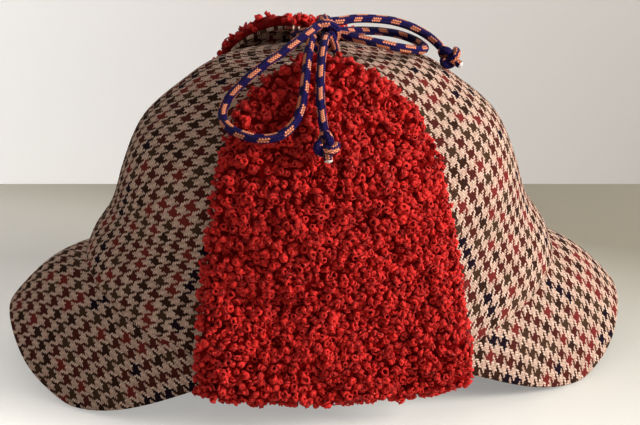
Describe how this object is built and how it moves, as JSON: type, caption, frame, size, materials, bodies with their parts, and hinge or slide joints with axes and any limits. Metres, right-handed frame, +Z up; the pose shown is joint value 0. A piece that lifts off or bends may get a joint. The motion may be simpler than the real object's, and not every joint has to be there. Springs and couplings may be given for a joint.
{
  "type": "deerstalker hat",
  "caption": "Tweed deerstalker with a peak at the front and back, and pile-faced ear flaps folded up over the crown and tied on top with braided cords in a bow.",
  "frame": {"origin": "middle of the hat's footprint, at the height of the table that it stands on", "axes": "+X runs from the front peak to the back peak, +Y from the near ear flap to the far one, and +Z up"},
  "size_m": [0.2872, 0.1864, 0.1595],
  "materials": {
    "tweed": "matt houndstooth wool tweed",
    "pile": "curly fleece pile",
    "braid": "round braided cord, navy with coral flecks"
  },
  "bodies": {
    "root": {"crown_panel_1": "tweed", "crown_panel_2": "tweed", "crown_panel_3": "tweed", "crown_panel_4": "tweed", "crown_panel_5": "tweed", "crown_panel_6": "tweed", "front_peak": "tweed", "back_peak": "tweed", "near_flap_cloth": "tweed", "far_flap_cloth": "tweed", "near_flap_pile": "pile", "far_flap_pile": "pile", "near_tie_lead": "braid", "near_tie_loop": "braid", "near_tie_end": "braid", "far_tie_lead": "braid", "far_tie_loop": "braid", "far_tie_end": "braid", "bow_knot": "braid", "near_end_knot": "braid", "far_end_knot": "braid"}
  },
  "joints": []
}
